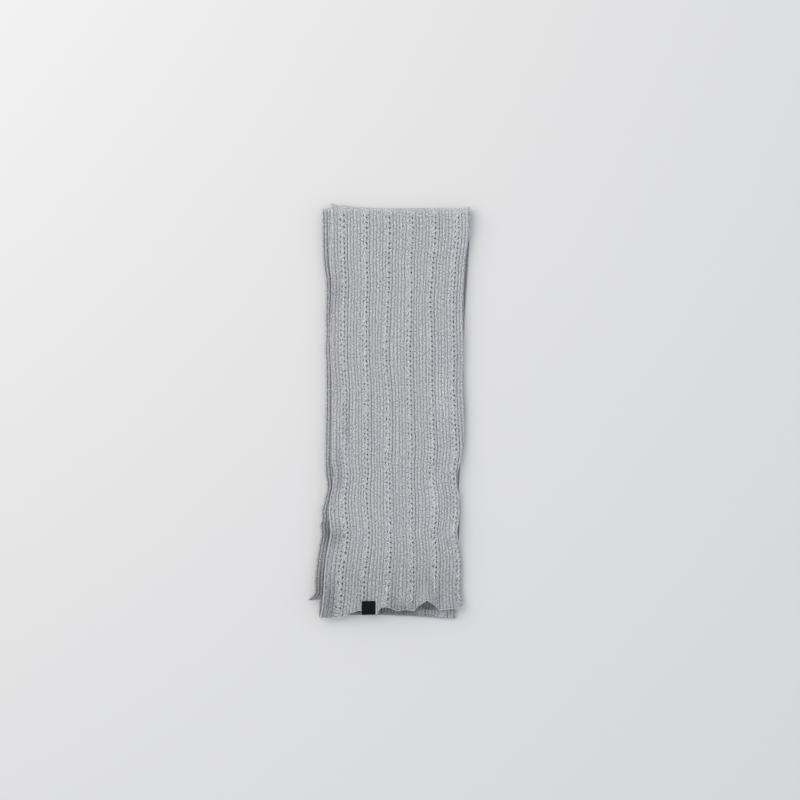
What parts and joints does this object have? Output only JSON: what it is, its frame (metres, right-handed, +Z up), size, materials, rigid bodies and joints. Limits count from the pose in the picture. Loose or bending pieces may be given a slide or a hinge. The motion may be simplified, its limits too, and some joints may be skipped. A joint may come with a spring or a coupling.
{
  "type": "knit scarf",
  "caption": "Long rib-knit scarf with pointelle stripes, wavy free hem and a small bare woven label, folded in half twice and laid flat.",
  "frame": {"origin": "under the middle of the whole folded scarf, on the surface that it lies on", "axes": "+X to the right seen from above, +Y along the ribs towards the head folds, +Z up out of the surface"},
  "size_m": [0.178, 0.4552, 0.0168],
  "materials": {
    "rib_knit": "matte heather grey rib knit, lightly fuzzy",
    "woven_label": "matte dark navy woven tape, bare"
  },
  "bodies": {
    "root": {"top_stretch": "rib_knit", "second_stretch": "rib_knit", "lower_stretches": "rib_knit", "label": "woven_label"}
  },
  "joints": []
}
